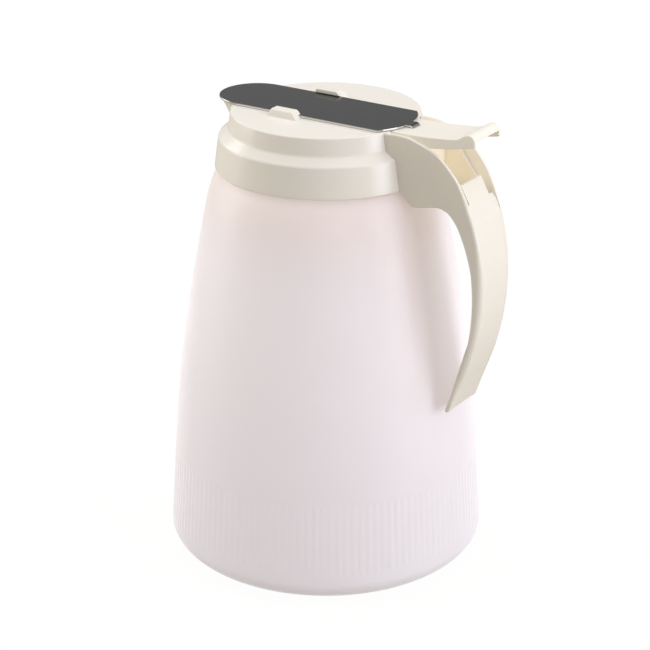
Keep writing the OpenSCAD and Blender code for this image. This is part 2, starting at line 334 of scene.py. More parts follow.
# ---------------------------------------------------------------- shader tools
class Nodes:
    """Adds nodes to one node tree. Values may be sockets or plain numbers."""

    def __init__(self, tree):
        self.tree = tree

    def new(self, kind, **settings):
        node = self.tree.nodes.new(kind)
        for key, value in settings.items():
            setattr(node, key, value)
        return node

    def feed(self, socket, value):
        if isinstance(value, bpy.types.NodeSocket):
            self.tree.links.new(value, socket)
        else:
            socket.default_value = value

    def math(self, operation, *values):
        node = self.new("ShaderNodeMath", operation=operation)
        for socket, value in zip(node.inputs, values):
            self.feed(socket, value)
        return node.outputs[0]

    def times(self, first, second):
        return self.math("MULTIPLY", first, second)

    def split(self, vector):
        """The x, y and z sockets of a vector."""
        node = self.new("ShaderNodeSeparateXYZ")
        self.feed(node.inputs[0], vector)
        return node.outputs

    def dot(self, vector, axis):
        node = self.new("ShaderNodeVectorMath", operation="DOT_PRODUCT")
        node.inputs[1].default_value = axis
        self.feed(node.inputs[0], vector)
        return node.outputs["Value"]

    def noise(self, scale, detail=3.0, rough=0.55, stretch=(1, 1, 1)):
        coords = self.new("ShaderNodeTexCoord")
        mapping = self.new("ShaderNodeMapping")
        mapping.inputs["Scale"].default_value = stretch
        self.feed(mapping.inputs["Vector"], coords.outputs["Object"])
        node = self.new("ShaderNodeTexNoise")
        for key, value in (("Scale", scale), ("Detail", detail), ("Roughness", rough),
                           ("Vector", mapping.outputs["Vector"])):
            self.feed(node.inputs[key], value)
        return node.outputs["Fac"]

    def ramp(self, value, to=(0, 1), over=(0.35, 0.65)):
        """A smooth step between the two results as value crosses the span over."""
        node = self.new("ShaderNodeMapRange", interpolation_type="SMOOTHSTEP")
        for key, number in (("Value", value), ("From Min", over[0]), ("From Max", over[1]),
                            ("To Min", to[0]), ("To Max", to[1])):
            self.feed(node.inputs[key], number)
        return node.outputs["Result"]

    def mix(self, factor, first, second):
        """A colour between first and second, each a socket or an RGB triple."""
        node = self.new("ShaderNodeMix", data_type="RGBA")
        for socket, colour in ((node.inputs[6], first), (node.inputs[7], second)):
            is_socket = isinstance(colour, bpy.types.NodeSocket)
            self.feed(socket, colour if is_socket else (*colour, 1))
        self.feed(node.inputs[0], factor)
        return node.outputs[2]

    def mix_shader(self, *inputs):
        """inputs are the factor and the two shaders."""
        node = self.new("ShaderNodeMixShader")
        for socket, value in zip(node.inputs, inputs):
            self.feed(socket, value)
        return node.outputs[0]


class Surface(Nodes):
    """A new material and the tree round its Principled shader."""

    def __init__(self, name):
        self.material = bpy.data.materials.new(name)
        self.material.use_nodes = True
        super().__init__(self.material.node_tree)
        self.shader = self.tree.nodes["Principled BSDF"]

    def set(self, key, value):
        self.feed(self.shader.inputs[key], value)

    def bump(self, height, distance_mm, strength, under=None):
        """A bump on top of the one under it; returns its normal."""
        node = self.new("ShaderNodeBump")
        node.inputs["Distance"].default_value = distance_mm * MM
        node.inputs["Strength"].default_value = strength
        self.feed(node.inputs["Height"], height)
        if under is not None:
            self.feed(node.inputs["Normal"], under)
        self.set("Normal", node.outputs["Normal"])
        return node.outputs["Normal"]


def scaled(colour, factor):
    return tuple(min(1, c * factor) for c in colour)


# ---------------------------------------------------------------- materials
def painted_pocket_glow(mat, painted_glow, pocket):
    """A painted glow: emission standing in for light that bleeds through the thin walls between
    the handle's cheeks, fainter on the stop's face. Places are in metres."""
    coords = mat.new("ShaderNodeTexCoord")
    x, y, z = mat.split(coords.outputs["Object"])
    facing_x, facing_y, _ = mat.split(coords.outputs["Normal"])
    between = mat.math("LESS_THAN", mat.math("ABSOLUTE", y), 0.0126)
    outward = mat.times(facing_y, mat.math("SIGN", y))
    wall = mat.math("LESS_THAN", outward, -0.6)
    stop = mat.times(mat.math("GREATER_THAN", facing_x, 0.9), mat.math("LESS_THAN", x, 0.051))
    stop = mat.times(stop, 0.45)
    high = mat.ramp(z, over=(0.158, 0.17))
    beyond_core = mat.math("GREATER_THAN", x, 0.036)
    mask = mat.times(mat.times(between, mat.math("MAXIMUM", wall, stop)),
                     mat.times(high, beyond_core))
    mat.set("Emission Strength", mat.math("ADD", mat.times(mask, pocket), painted_glow))
    pale = mat.ramp(mat.math("ABSOLUTE", y), over=(0.0092, 0.0102))
    mat.set("Emission Color", mat.mix(pale, (1.0, 0.84, 0.55), (1.0, 0.9, 0.76)))


def plastic(name, base, dark, rough, painted_glow=0.0, pocket=0.0):
    """Moulded almond plastic: a faint flow mottle, satin gloss, a fine moulded skin."""
    mat = Surface(name)
    # the emission here is a painted glow that lightens the whole piece evenly
    mat.set("Emission Color", (1.0, 0.96, 0.88, 1))
    mat.set("Emission Strength", painted_glow)
    if pocket:
        painted_pocket_glow(mat, painted_glow, pocket)
    mat.set("Base Color", mat.mix(mat.ramp(mat.noise(9, detail=1), over=(0.2, 0.8)), dark, base))
    mat.set("Roughness", mat.ramp(mat.noise(20, detail=1), to=(rough - 0.03, rough + 0.015),
                                  over=(0.2, 0.8)))
    mat.set("IOR", 1.5)
    mat.set("Subsurface Weight", 0.12)
    mat.set("Subsurface Radius", (1.0, 0.75, 0.45))
    mat.set("Subsurface Scale", 0.003)
    mat.bump(mat.noise(28, detail=1), distance_mm=0.05, strength=0.05)
    return mat.material


def steel(name, base, rough, grain_scale, stretch=(1, 1, 1), edge=None):
    """Stainless steel with a fine grain. edge is a painted highlight: the colour of the faces
    standing upright, painted bright as if they caught the light.
    """
    mat = Surface(name)
    grain = mat.noise(grain_scale, detail=5, rough=0.6, stretch=stretch)
    colour = mat.mix(mat.ramp(grain), scaled(base, 0.9), scaled(base, 1.08))
    if edge:
        # painted highlight: the upright faces get the edge colour in place of the grain
        _, _, up = mat.split(mat.new("ShaderNodeNewGeometry").outputs["Normal"])
        side = mat.ramp(mat.math("ABSOLUTE", up), to=(1, 0), over=(0.55, 0.93))
        colour = mat.mix(side, colour, edge)
    mat.set("Base Color", colour)
    mat.set("Metallic", 1)
    mat.set("Roughness", mat.ramp(mat.noise(45), to=(rough * 0.8, rough * 1.35)))
    mat.bump(grain, distance_mm=0.004, strength=0.2)
    return mat.material


def jar_plastic():
    """Natural translucent plastic: milky, a touch pink, with a painted glow for the light
    bleeding through the wall and a painted shadow of the handle. Heights are in metres."""
    mat = Surface("jar_plastic")
    x, y, z = mat.split(mat.new("ShaderNodeTexCoord").outputs["Object"])
    cloud = mat.noise(14)
    # darker and cooler towards the bottom; darker and warmer near the collar, a painted shade
    # under the collar's skirt
    colour = mat.mix(mat.ramp(cloud), (0.50, 0.455, 0.46), (0.515, 0.47, 0.475))
    colour = mat.mix(mat.ramp(z, to=(1, 0), over=(0.0, 0.12)), colour, (0.475, 0.445, 0.455))
    colour = mat.mix(mat.ramp(z, over=(0.135, 0.165)), colour, (0.50, 0.44, 0.415))
    mat.set("Roughness", mat.ramp(mat.noise(70, detail=4), to=(0.32, 0.42)))
    mat.set("IOR", 1.5)
    mat.set("Subsurface Weight", 1.0)
    mat.set("Subsurface Radius", (1.0, 0.9, 0.88))
    mat.set("Subsurface Scale", 0.008)
    # painted glow: emission standing in for the bright surroundings seen faintly through the
    # wall, warmer near the collar, weaker towards the bottom, with a painted rim glow at the
    # outline
    painted_glow = mat.mix(mat.ramp(cloud), (0.99, 0.985, 0.99), (1.0, 0.99, 0.995))
    high = mat.ramp(z, over=(0.12, 0.165))
    mat.set("Emission Color", mat.mix(high, painted_glow, (1.0, 0.93, 0.87)))
    rim = mat.new("ShaderNodeLayerWeight")
    rim.inputs["Blend"].default_value = 0.5
    edge = mat.times(mat.ramp(rim.outputs["Facing"], to=(0, 0.14), over=(0.55, 1.0)),
                     mat.ramp(z, to=(1, 0), over=(0.10, 0.15)))
    lit = mat.math("ADD", mat.ramp(z, to=(0.285, 0.315), over=(0.01, 0.11)), edge)
    # a painted shadow of the handle: a darker upright patch on the +x side, centred on y =
    # -0.016
    off_centre = mat.math("ABSOLUTE", mat.math("ADD", y, 0.016))
    painted_handle_shadow = mat.times(mat.math("GREATER_THAN", x, 0),
                      mat.times(mat.ramp(off_centre, to=(1, 0), over=(0.0, 0.022)),
                                mat.ramp(z, over=(0.05, 0.13))))
    mat.set("Emission Strength", mat.math("SUBTRACT", lit, mat.times(painted_handle_shadow, 0.045)))
    mat.set("Base Color", mat.mix(painted_handle_shadow, colour, (0.485, 0.42, 0.40)))
    waves = mat.bump(mat.noise(55, detail=2), distance_mm=0.25, strength=0.12)
    mat.bump(mat.noise(420, detail=2), distance_mm=0.02, strength=0.15, under=waves)
    return mat.material


def rubber(name, base):
    mat = Surface(name)
    fine = mat.noise(700)
    mat.set("Base Color", mat.mix(mat.ramp(fine), scaled(base, 0.92), base))
    mat.set("Roughness", mat.ramp(mat.noise(200), to=(0.5, 0.68)))
    mat.bump(fine, distance_mm=0.02, strength=0.3)
    return mat.material


ALMOND, ALMOND_DARK = (0.81, 0.757, 0.64), (0.80, 0.745, 0.625)
# the emission amounts given here are painted light: an even glow on the collar and trigger, and
# a painted glow between the handle's cheeks
M_TOP = plastic("almond_plastic", base=(0.83, 0.777, 0.672), dark=(0.82, 0.765, 0.657),
                rough=0.25, painted_glow=0.03)
M_HANDLE = plastic("handle_plastic", base=ALMOND, dark=ALMOND_DARK, rough=0.32, pocket=0.24)
M_TRIGGER = plastic("trigger_plastic", base=ALMOND, dark=ALMOND_DARK, rough=0.31, painted_glow=0.07)
M_JAR = jar_plastic()
# the gate's upright edges carry a painted highlight
M_GATE = steel("gate_steel", base=(0.098, 0.097, 0.096), rough=0.11, grain_scale=60,
               stretch=(1, 30, 30), edge=(0.78, 0.77, 0.75))
M_SPRING = steel("spring_steel", base=(0.62, 0.62, 0.62), rough=0.22, grain_scale=900)
M_PIN = steel("pin_steel", base=(0.66, 0.66, 0.65), rough=0.2, grain_scale=200,
              stretch=(40, 1, 1))
M_SEAL = rubber("gasket_rubber", base=(0.80, 0.79, 0.76))


# ---------------------------------------------------------------- jar
FOOT_H, FOOT_RUN = 10.9, 18.4    # height and width of the rounded bottom corner
JAR_WALL, JAR_FLOOR = 2, 2.6
RIBS = 130
# depth of the groove at each step across one rib
RIB_SHAPE = [0, 0, 0.35, 1, 1, 0.35]
# (how far inside JAR_R, z) up the side
JAR_SIDE = [(0, FOOT_H), (1.3, 31), (3.1, 58), (6.25, 89), (11.2, 120), (14.95, 140),
            (17.25, 152), (19.6, 160), (21.4, 163.8)]
# (r, z) under the foot, with a shallow ring
JAR_BOTTOM = [(0, 0), (20, 0), (39.7, 0), (40.1, 0.15), (40.5, 0.55), (40.9, 0.7), (42.1, 0.7),
              (42.5, 0.55), (42.9, 0.15), (43.3, 0)]
# (how far inside JAR_R, z) over the shoulder
JAR_SHOULDER = [(21.4, 163.8), (21.75, 164.45), (22.3, 164.95), (23, 165.13), (23.8, 165.15)]
# (r, z) up the outside of the neck, and down its inside
NECK_OUT = [(39.9, 165.2), (39.3, 165.4), (38.95, 165.9), (38.9, 166.5), (38.9, 170),
            (38.9, MOUTH_Z - 0.5), (38.75, MOUTH_Z - 0.15), (38.4, MOUTH_Z)]
NECK_IN = [(37.4, MOUTH_Z), (37.05, MOUTH_Z - 0.15), (36.9, MOUTH_Z - 0.5), (36.9, 168),
           (36.9, 164.8)]


def jar_corner(inset_r, inset_z, angles):
    return [(JAR_R - FOOT_RUN + (FOOT_RUN - inset_r) * math.cos(math.radians(t)),
             FOOT_H + (FOOT_H - inset_z) * math.sin(math.radians(t))) for t in angles]


def jar_profiles():
    """The (r, z) outlines: the outside going up, and the inside going down."""
    side = curve([(JAR_R - inset, z) for inset, z in JAR_SIDE], 12)
    side_r, side_z = zip(*side)
    # even steps up the ribbed band, so that the ribs' ends are crisp
    band = [12.4 + 0.6 * i for i in range(8)] + list(np.linspace(17.5, 42.5, 12))
    band += [43.2 + 0.4 * i for i in range(7)]
    outer = JAR_BOTTOM + jar_corner(0, 0, np.linspace(-90, 0, 26))[:-1] + [(JAR_R, FOOT_H)]
    outer += [(float(np.interp(z, side_z, side_r)), float(z)) for z in band]
    outer += [(r, z) for r, z in side if z > 46.5]
    outer += curve([(JAR_R - inset, z) for inset, z in JAR_SHOULDER], 4)[1:] + NECK_OUT
    inner = NECK_IN + curve([(36.9, 164.2), (37.3, 163.4), (38.6, 163.0), (41, 162.5),
                             (42.3, 161.4), (JAR_R - 21.6, 160)], 3)
    inner += [(r - JAR_WALL, z) for r, z in reversed(side[::3]) if 13 < z < 159]
    inner += jar_corner(JAR_WALL, JAR_FLOOR, np.linspace(0, -82, 10))
    inner += [(JAR_R - FOOT_RUN, JAR_FLOOR), (20, JAR_FLOOR), (0, JAR_FLOOR)]
    return outer, inner


def build_jar():
    outer, inner = jar_profiles()

    def ribbed(r, z, k, row):
        if row >= len(outer) or not 13 < z < 47:
            return r
        depth = ease(min((z - 14.3) / 1.6, (45.4 - z) / 1.4))
        return r - 0.16 * depth * RIB_SHAPE[k % len(RIB_SHAPE)]

    ob = revolve("jar_shell", outer + inner, RIBS * len(RIB_SHAPE), wobble=ribbed)
    join(ob, thread("neck_thread", 38.6, 40.35, 167.9, 0, 1.15))
    finish_mesh(ob, 50, weighted=False)
    hand_over(ob, M_JAR, "jar", "jar")


# ---------------------------------------------------------------- gasket
# (r, height above its seat): a flat ring with two shallow grooves in its top
GASKET = [(36.9, 0), (40.7, 0), (40.9, 0.2), (40.9, 1.2), (40.7, 1.4), (39.6, 1.4),
          (39.4, 1.25), (39.1, 1.25), (38.9, 1.4), (38.4, 1.4), (38.2, 1.25), (37.9, 1.25),
          (37.7, 1.4), (36.9, 1.4), (36.7, 1.2), (36.7, 0.2)]


def build_gasket():
    seat = MOUTH_Z + 0.05
    ob = revolve("sealing_ring", [(r, seat + height) for r, height in GASKET], 180)
    finish_mesh(ob, 40)
    hand_over(ob, M_SEAL, "seal", "neck_gasket")


# ---------------------------------------------------------------- top moulding
# (r, z) of the spout's outside and of its channel, about SPOUT_X
BEAK_OUT = [(8, 176.5), (10.3, 180), (12.3, 184), (13.7, 187), (14.2, DECK_Z - 0.35),
            (14.3, DECK_Z - 0.15)]
BEAK_IN = [(5.6, 179.4), (8.6, 182.5), (10.8, 185.3), (12.3, 187), (12.75, DECK_Z - 0.25),
           (13.0, DECK_Z)]


def collar(gap=0.0, fine=True):
    """The collar's outside from skirt to deck as (r, z), moved out by gap."""
    k = 3 if fine else 1
    p = arc(COLLAR_R - 0.0, SKIRT_Z + 0.5, 0.5, -90, -5, 2 * k)
    p += [(43.55, 170.0)] + arc(40.855, 176.875, 1.75, 7, 51, 3 * k)
    p += curve([(39.75, 180.0), (39.1, 180.5), (38.72, 180.95), (38.5, 181.6)], 2 * k)
    p += [(38.2, 184)]
    p += arc(36.95, DECK_Z - 0.7, 0.7, 6, 90, 3 * k)
    return [(r + gap, z) for r, z in p]


def beak(name, points, top, end_inset=0.0):
    """A round spout shape; end_inset draws its top edge in."""
    p = curve(points, 5)
    profile = [(0, p[0][1])] + p + [(p[-1][0] - end_inset, top), (0, top)]
    return revolve(name, profile, 128, SPOUT_X)


def lug():
    """A lug that stands on the deck and reaches over the gate's edge."""
    g, foot_y = GATE_Z, GATE_HALF + 0.25
    ob = prism("lug", "x", [
        (foot_y, DECK_Z - 0.5), (19.3, DECK_Z - 0.5), (19.3, DECK_Z), (18.3, g + 2.35),
        (17.4, g + 2.75), (14.2, g + 2.75), (13.9, g + 2.45), (13.9, g + 1.1),
        (foot_y, g + 1.1)], -16, -0.5)
    common(ob, prism("lug_ends", "y", [
        (-15, DECK_Z - 1), (-1.5, DECK_Z - 1), (-1.5, DECK_Z), (-4.4, g + 2.9),
        (-13.6, g + 2.9), (-15, DECK_Z)], 10, 22))
    return bevel(ob, 0.28, 3, 25, keep=lambda p, q: min(p.z, q.z) > DECK_Z + 0.1)


def build_top():
    segments = 256
    ob = revolve("collar", [(0, SKIRT_Z)] + collar() + [(0, DECK_Z)], segments)
    add(ob, beak("beak", BEAK_OUT, DECK_Z - 0.02, end_inset=0.13))
    add(ob, *both(lug))
    # the hollow: bore, gasket seat and the space under the deck, less the tray under the slot
    hollow = revolve("hollow", [
        (0, 150), (BORE_R, 150), (BORE_R, SKIRT_Z), (BORE_R, 176.0), (BORE_R - 0.2, 176.2),
        (36.6, 176.2), (36.3, 176.5), (36.3, DECK_Z - 2.7), (36.0, DECK_Z - 2.4),
        (0, DECK_Z - 2.4)], segments)
    cut(hollow, block("tray", (11.2, -12.1, GROOVE_Z - 1.6), (60, 12.1, DECK_Z)))
    cut(ob, hollow)
    # spout channel, open at the deck as far as the mouth's straight edge on the +x side
    channel = beak("channel", BEAK_IN, DECK_Z + 0.6)
    cut(ob, common(channel, prism("front", "y", [
        (-60, 178), (-29, 178), (-29, DECK_Z - 0.3), (-28.7, DECK_Z + 0.05), (-28.7, 190),
        (-60, 190)], -20, 20)))
    # slot for the trigger, with its rails and the spring's groove
    cut(ob, prism("slot", "x", [
        (-10.3, RAIL_Z), (10.3, RAIL_Z), (10.3, DECK_Z - 0.3), (10.6, DECK_Z + 0.05),
        (10.6, 192), (-10.6, 192), (-10.6, DECK_Z + 0.05), (-10.3, DECK_Z - 0.3)], 13, 60))
    cut(ob, block("groove", (13, -GROOVE_HALF, GROOVE_Z), (60, GROOVE_HALF, 192)))
    finish_mesh(ob, 30)
    join(ob, thread("inner_thread", BORE_R + 0.3, BORE_R - 1.5, 166.9, 30, 1.2))
    shade(ob, 30)
    ob.name = "top_moulding_shell"
    hand_over(ob, M_TOP, "top", "top_moulding")


# ---------------------------------------------------------------- handle
# (x, z) from the deck down the outside of the grip
GRIP_OUT = [
    (34, DECK_Z - 0.3), (38.5, DECK_Z - 0.1), (42.5, DECK_Z - 0.15), (45.7, 187.4),
    (48.6, 186.4), (51.4, 185.4), (55.6, 183.6), (58.5, 181.7), (61.4, 179), (64.2, 175.9),
    (66.6, 172.8), (69.7, 167), (71.9, 161.6), (74.9, 153.4), (77.2, 141.8), (77.9, 131.1),
    (77.3, 119.9), (75.4, 108.6), (72.3, 97.7), (67.8, 85.9), (65, 78.4)]
# (x, z) from the collar down the inside of the grip
GRIP_IN = [
    (41.2, 165.9), (42.4, 165), (44.4, 163), (46.4, 160.95), (47.9, 160.2), (51.1, 160.5),
    (55.3, 161.3), (58.3, 161.6), (60.9, 161), (63.1, 159.8), (66.2, 156.1), (68.8, 150.8),
    (70.8, 145.5), (73.0, 137.2), (73.9, 126.5), (73.5, 115.3), (71.8, 105.2), (68.4, 92.9),
    (65.3, 84.4), (62.8, 77.9)]
GRIP_TIP = [(64.6, 77.3), (63.8, 76.9), (63, 77.1)]
# (x, z) round the part of a cheek that is thinned to its rim
CHEEK_THIN = [
    (29, RAIL_Z), (49, RAIL_Z), (52, 181.4), (56.4, 178), (59.9, 173.5), (63.3, 169.1),
    (67.05, 163.22), (69.6, 163.6), (70.95, 162.22), (71.97, 160.35), (72.92, 158.25),
    (73.7, 156.4), (75.5, 155.8), (90, 151), (90, 200), (29, 200)]
# (x, z) of the strap's upper end and lower tip
STRAP_HEAD = [(69.7, 163.9), (71.0, 162.3), (72.0, 160.4), (72.95, 158.3)]
STRAP_TIP = [(64.5, 77.5), (63.8, 77.15), (63.2, 77.3), (63, 77.9)]
# (x, z) of the tongue that stands up from the strap's upper end
STRAP_TONGUE = [
    (70.35, 163.05), (69.7, 163.93), (68.45, 166.1), (67.2, 168.4), (66.3, 170.1),
    (65.9, 170.6), (65.2, 170.8), (64.7, 170.5), (64.5, 170.0), (64.6, 169.4), (66.6, 164.9),
    (67.6, 162.6)]
CHEEK_Y, RIM_T, CHEEK_T = 11.6, 1.3, 2.8
CHEEK_IN = CHEEK_Y - CHEEK_T     # y of a cheek's inside face
CHEEK_BLANK = 16                 # y of its outside face before it is moved in
WIDEST = 2.4                     # greatest rounding of the grip's edges


def cheek_out(x):
    """The outside face of a cheek, which stands out a little more towards the collar."""
    return min(13.8, CHEEK_Y + 1.8 * (max(0.0, 76 - x) / 34) ** 1.5)


def toe(ob, y, inset):
    """Moves the face at y, with its rounded edge, to the cheek's outside less inset."""
    slices = ((Vector((1, 0, 0)), range(37, 77, 3)),
              (Vector((0, 0, 1)), (82, 86, 90, 94, 98, 104, 112, 120, 128)))
    with edit(ob) as bm:
        bmesh.ops.triangulate(bm, faces=[f for f in bm.faces if len(f.verts) > 4])
        for normal, places in slices:
            for place in places:
                bmesh.ops.bisect_plane(bm, geom=bm.verts[:] + bm.edges[:] + bm.faces[:],
                                       plane_co=normal * (place * MM), plane_no=normal)
        for v in bm.verts:
            if v.co.y * 1000 > y - 2.6:
                v.co.y += (cheek_out(v.co.x * 1000) - inset - y) * MM
    return ob


def soften(ob, y, outer_points):
    """Rounds the edges round the face at y: widely down the outside of the grip, finely
    elsewhere."""
    outside = {(round(x, 2), round(z, 2)) for x, z in outer_points}
    mesh = ob.data
    weights = mesh.attributes.new("bevel_weight_edge", "FLOAT", "EDGE")
    for e in mesh.edges:
        ends = [mesh.vertices[i].co * 1000 for i in e.vertices]
        if min(v.y for v in ends) < y - 0.01:
            continue
        width = 0.45
        if all((round(v.x, 2), round(v.z, 2)) in outside for v in ends):
            z = (ends[0].z + ends[1].z) / 2
            grip = clamp((176 - z) / 18) * clamp((z - 80) / 12)
            lower = clamp((150 - z) / 14) * clamp((z - 80) / 16)
            width = 0.5 + 0.9 * ease(grip) + 1.0 * ease(lower)
        weights.data[e.index].value = width / WIDEST
    mod = ob.modifiers.new("edge", "BEVEL")
    mod.limit_method, mod.offset_type = "WEIGHT", "OFFSET"
    mod.width, mod.segments, mod.use_clamp_overlap = WIDEST * MM, 6, False
    apply_modifiers(ob)
    return fix_normals(ob)


def build_strap(out):
    """The strap lies a hair inside the cheeks' edges, and runs into them."""
    run = STRAP_HEAD + offset([p for p in out if p[1] < 156.5], -0.04)
    ob = prism("strap", "y", run + STRAP_TIP + offset(run, -2.2)[::-1][1:],
               -CHEEK_IN - 0.5, CHEEK_IN + 0.5)
    with edit(ob) as bm:
        bmesh.ops.triangulate(bm, faces=[f for f in bm.faces if len(f.verts) > 4])
        for v in bm.verts:      # it widens towards its top, to meet the rims
            t = clamp((v.co.z * 1000 - 147) / 9)
            v.co.y += math.copysign(1.3 * MM * t, v.co.y)
        bmesh.ops.triangulate(bm, faces=bm.faces[:])
    return ob


def build_handle():
    out, inn = curve(GRIP_OUT, 6), curve(GRIP_IN, 6)
    out = [(x - 0.01, z) for x, z in out]
    outline = out + GRIP_TIP + inn[::-1] + [(34, 165.9)]

    def cheek():
        blank = prism("cheek", "y", outline, CHEEK_IN, CHEEK_BLANK)
        ob = toe(soften(blank, CHEEK_BLANK, out), CHEEK_BLANK, 0)
        return cut(ob, toe(prism("above", "y", CHEEK_THIN, CHEEK_IN - 1, 17), 17, RIM_T))

    ob = build_strap(out)
    add(ob, prism("tongue", "y", STRAP_TONGUE, -7.6, 7.6))
    add(ob, *both(cheek))
    saddle = block("saddle", (30, -CHEEK_IN - 0.6, 166), (47.7, CHEEK_IN + 0.6, 181.3))
    skin = [(0, SKIRT_Z - 2), (COLLAR_R + 2, SKIRT_Z - 2)] + collar(2, False) + [(0, DECK_Z)]
    common(saddle, revolve("around", skin, 192))
    add(ob, saddle)
    add(ob, block("stop", (STOP_X, -CHEEK_IN - 0.5, 163.1),
                  (STOP_X + STOP_T, CHEEK_IN + 0.5, RAIL_Z - 0.25)))
    add(ob, block("stop_middle", (STOP_X + 0.04, -TONGUE_HALF, 170),
                  (STOP_X + 1.96, TONGUE_HALF, TRIG_Z - 2.2)))
    cut(ob, revolve("collar_gap", [(0, SKIRT_Z - 0.6), (44.13, SKIRT_Z - 0.6)] + collar(0.04)
                    + [(0, DECK_Z + 0.5)], 256))
    cut(ob, revolve("core", [(0, 150), (36.5, 150), (36.5, 200), (0, 200)], 128))
    # the grip narrows a little below the cheeks
    for v in ob.data.vertices:
        z = v.co.z * 1000
        v.co.y *= 1 - 0.01 * ease((130 - z) / 30) - 0.06 * ease((98 - z) / 22)
    finish_mesh(ob, 30)
    ob.name = "handle_grip"
    hand_over(ob, M_HANDLE, "top", "handle")


# ---------------------------------------------------------------- gate plate
def build_gate():
    # the +x end is a shallow arc, rising this far across the gate's width
    rise, rear_x = 5.7, 38.4
    radius = (GATE_HALF * GATE_HALF + rise * rise) / (2 * rise)
    half_angle = math.degrees(math.asin(GATE_HALF / radius))
    outline = arc(SPOUT_X, 0, GATE_HALF, 90, 270, 64)
    outline += arc(rear_x - radius, 0, radius, -half_angle, half_angle, 36)
    ob = prism("gate", "z", outline, GATE_Z, GATE_TOP)
    bevel(ob, 0.24, 4, 40, keep=lambda p, q: abs(p.z - q.z) < 0.01)
    # tongue at the +x end, bent down into the trigger
    middle = [(35.5, GATE_Z + 0.45), (39.6, GATE_Z + 0.45)]
    middle += arc(39.95, GATE_Z - 0.55, 1.1, 80, 8, 6) + [(41.05, TRIG_Z - 2)]
    tongue = prism("tongue", "y", offset(middle, 0.44) + offset(middle, -0.44)[::-1], -2.7, 2.7)
    add(ob, bevel(tongue, 0.15, 2, 40))
    finish_mesh(ob, 30)
    ob.name = "sliding_gate"
    hand_over(ob, M_GATE, "gate", "gate_plate")


# ---------------------------------------------------------------- trigger
# (x, z) along the top towards +x, and back along the underside
TRIG_TOP = [
    (42, TRIG_Z), (51, TRIG_Z + 0.25), (58, TRIG_Z + 0.8), (64, TRIG_Z + 1.5),
    (66.2, TRIG_Z + 2.5), (68, LIP_Z - 0.4), (69.7, LIP_Z), (71, LIP_Z - 0.3),
    (72, LIP_Z - 1.2), (72.5, LIP_Z - 2.4)]
TRIG_UNDER = [
    (70.8, LIP_Z - 2.4), (70.3, LIP_Z - 1.9), (69.2, LIP_Z - 1.8), (68, LIP_Z - 2.7),
    (66.4, TRIG_Z + 0.3), (64, TRIG_Z - 0.4), (58, TRIG_Z - 1), (51, TRIG_Z - 1.55),
    (42, TRIG_Z - 1.8)]


def build_trigger():
    half, wall, foot_z = 10.0, 1.4, RAIL_Z + 0.15
    side = [(TRIG_X, foot_z), (TRIG_X, TRIG_Z)] + curve(TRIG_TOP, 6)
    side += [(72.6, 187.1), (60.7, 184.9), (53.8, 183.9), (49, foot_z)]
    ob = prism("deck", "y", side, -half, half)
    bevel(ob, 0.35, 4, 40, keep=lambda p, q: (min(abs(p.y), abs(q.y)) > half - 0.01
                                              or (p.x > 72 and q.x > 72 and p.z > 188)))
    inside = [(80, 180), (80, LIP_Z - 2.4)] + curve(TRIG_UNDER, 4)
    inside += [(SEAT_X, TRIG_Z - 1.8), (SEAT_X, 180)]
    cut(ob, prism("hollow", "y", inside, wall - half, half - wall))
    # end wall that reaches down into the groove
    add(ob, block("front", (15.03, -TONGUE_HALF, GROOVE_Z + 0.25),
                  (16.98, TONGUE_HALF, RAIL_Z + 1.5)))
    cut(ob, prism("tongue_slot", "y", [
        (40.45, 180), (41.65, 180), (41.65, TRIG_Z - 0.2), (41.85, TRIG_Z + 0.05),
        (41.85, 200), (38.9, 200), (38.9, TRIG_Z + 0.05), (40.45, TRIG_Z - 0.6)], -2.85, 2.85))
    hole = revolve("hole", [(0, -10), (1.05, -10), (1.05, 10), (0, 10)], 32)
    cut(ob, lay_on_pin_axis(hole, (TRIG_X + SEAT_X) / 2))
    finish_mesh(ob, 30)
    ob.name = "thumb_trigger"
    hand_over(ob, M_TRIGGER, "gate", "trigger")


# ---------------------------------------------------------------- spring and pin
def build_spring():
    coils, wire_r, coil_r = 13, 0.28, 1.8
    per_coil, around = 36, 12
    start_x = SEAT_X + 0.05 + wire_r
    length = STOP_X - 0.05 - wire_r - start_x
    closed = 2 * wire_r * 1.1      # pitch of the coil at each end
    free = (length - 2 * closed) / (coils - 2)

    def along(turn):
        if turn < 1:
            return closed * turn
        if turn > coils - 1:
            return length - closed * (coils - turn)
        return closed + free * (turn - 1)

    rings = []
    for i in range(coils * per_coil + 1):
        angle = 2 * math.pi * i / per_coil
        x = start_x + along(i / per_coil)
        ring = []
        for k in range(around):
            turn = 2 * math.pi * k / around
            r = coil_r + wire_r * math.cos(turn)
            ring.append((x + wire_r * math.sin(turn), r * math.cos(angle),
                         PIN_Z + r * math.sin(angle)))
        rings.append(ring)
    ob = sweep("closing_spring", rings)
    finish_mesh(ob, 60, weighted=False)
    hand_over(ob, M_SPRING, "top", "return_spring")
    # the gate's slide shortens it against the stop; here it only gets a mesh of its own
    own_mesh(ob)


def build_pin():
    head = STOP_X + STOP_T + 0.02    # the head sits on the stop's +x face
    ob = revolve("guide_pin", [
        (0, 13.4), (0.45, 13.4), (0.68, 13.55), (0.8, 13.85), (0.8, 30), (0.8, head),
        (1.6, head), (1.7, head + 0.1), (1.7, head + 0.5), (1.6, head + 0.72),
        (1.3, head + 0.9), (0.8, head + 1.02), (0, head + 1.06)], 40)
    lay_on_pin_axis(ob)
    finish_mesh(ob, 40)
    hand_over(ob, M_PIN, "top", "spring_guide_pin")


build_jar()
build_gasket()
build_top()
build_handle()
build_gate()
build_trigger()
build_spring()
build_pin()

# ---------------------------------------------------------------- stage and camera
WHITE = 1.07                                      # brightness of the backdrop as seen
CAM_HEADING, CAM_PITCH = math.radians(33), math.radians(22.83)
CAM_RIGHT = (math.cos(CAM_HEADING), math.sin(CAM_HEADING), 0)
CAM_AWAY = (-math.sin(CAM_HEADING), math.cos(CAM_HEADING), 0)


